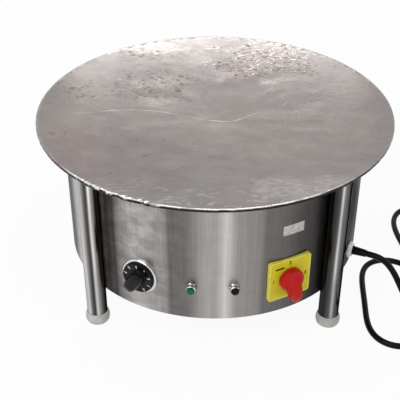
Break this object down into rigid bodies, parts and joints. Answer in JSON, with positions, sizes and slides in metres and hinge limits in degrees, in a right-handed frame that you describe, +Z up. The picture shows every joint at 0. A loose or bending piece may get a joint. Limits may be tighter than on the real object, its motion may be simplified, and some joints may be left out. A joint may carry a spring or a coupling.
{
  "type": "electric tawa griddle",
  "caption": "Round electric tawa griddle: a dished steel cooking plate on a steel drum with tube legs, thermostat knob, indicator lamps, rotary selector switch and mains cord.",
  "frame": {"origin": "centre of the footprint on the floor, under the middle of the cooking plate", "axes": "+Z up, -Y the front with the controls, +X to the right seen from the front"},
  "size_m": [0.7179, 0.508, 0.26],
  "materials": {
    "plate_steel": "bare rolled steel, ground and heat-tinted",
    "drum_steel": "brushed stainless sheet",
    "leg_steel": "polished stainless tube",
    "foot_plastic": "pale grey moulded plastic",
    "zinc_steel": "zinc-plated steel",
    "pan_steel": "aluminised sheet",
    "board": "ceramic fibre board",
    "element_sheath": "oxidised alloy sheath",
    "bright_trim": "bright plated",
    "white_ceramic": "unglazed ceramic",
    "knob_black": "black thermoset",
    "copper": "drawn copper",
    "plate_yellow": "yellow moulded plastic",
    "handle_red": "red moulded plastic",
    "switch_black": "black moulded plastic",
    "lens_green": "dark green clear plastic",
    "lens_dark": "dark clear plastic",
    "wire_jacket": "glass-braid and silicone insulation",
    "gland_grey": "pale grey nylon",
    "cord_black": "black flexible jacket",
    "plug_black": "black moulded plastic",
    "pin_brass": "machined brass"
  },
  "bodies": {
    "griddle": {"tawa_plate": "plate_steel", "drum_shell": "drum_steel", "leg_front_left": "leg_steel", "leg_front_right": "leg_steel", "leg_rear_left": "leg_steel", "leg_rear_right": "leg_steel", "foot_front_left": "foot_plastic", "foot_front_right": "foot_plastic", "foot_rear_left": "foot_plastic", "foot_rear_right": "foot_plastic", "leg_bolts": "zinc_steel", "plate_studs": "zinc_steel", "plate_nuts": "zinc_steel", "reflector_pan": "pan_steel", "insulation_board": "board", "inner_element": "element_sheath", "outer_element": "element_sheath", "element_spider": "zinc_steel", "spider_stud": "zinc_steel", "spider_nut": "zinc_steel", "thermostat_bezel": "bright_trim", "thermostat_screws": "zinc_steel", "thermostat_body": "white_ceramic", "thermostat_bulb": "copper", "bulb_clip": "zinc_steel", "capillary_tube": "copper", "switch_plate": "plate_yellow", "switch_screws": "zinc_steel", "switch_body": "switch_black", "lamp_left_ring": "bright_trim", "lamp_left_lens": "lens_green", "lamp_left_body": "switch_black", "lamp_left_nut": "bright_trim", "lamp_right_ring": "bright_trim", "lamp_right_lens": "lens_dark", "lamp_right_body": "switch_black", "lamp_right_nut": "bright_trim", "base_cover": "drum_steel", "cover_screws": "zinc_steel", "terminal_block": "white_ceramic", "block_screws": "zinc_steel", "earth_stud": "pin_brass", "wire_live": "wire_jacket", "wire_neutral": "wire_jacket", "wire_inner": "wire_jacket", "wire_outer": "wire_jacket", "wire_earth": "wire_jacket", "gland_body": "gland_grey", "gland_nut": "gland_grey", "sleeve": "cord_black", "cord_inner": "cord_black", "cord_lead": "cord_black", "cord_coil": "cord_black", "coil_tie": "switch_black", "plug_body": "plug_black", "plug_pins": "pin_brass"},
    "knob": {"thermostat_spindle": "zinc_steel", "thermostat_knob": "knob_black"},
    "handle": {"switch_shaft": "zinc_steel", "switch_handle": "handle_red"}
  },
  "joints": [
    {"name": "thermostat_turn", "type": "hinge", "parent": "griddle", "child": "knob", "pos_m": [-0.09852, -0.19335, 0.109], "axis": [0.454, 0.891, 0], "range_deg": [0, 270]},
    {"name": "selector_turn", "type": "hinge", "parent": "griddle", "child": "handle", "pos_m": [0.10187, -0.1916, 0.109], "axis": [-0.4695, 0.8829, 0], "range_deg": [0, 270]}
  ]
}
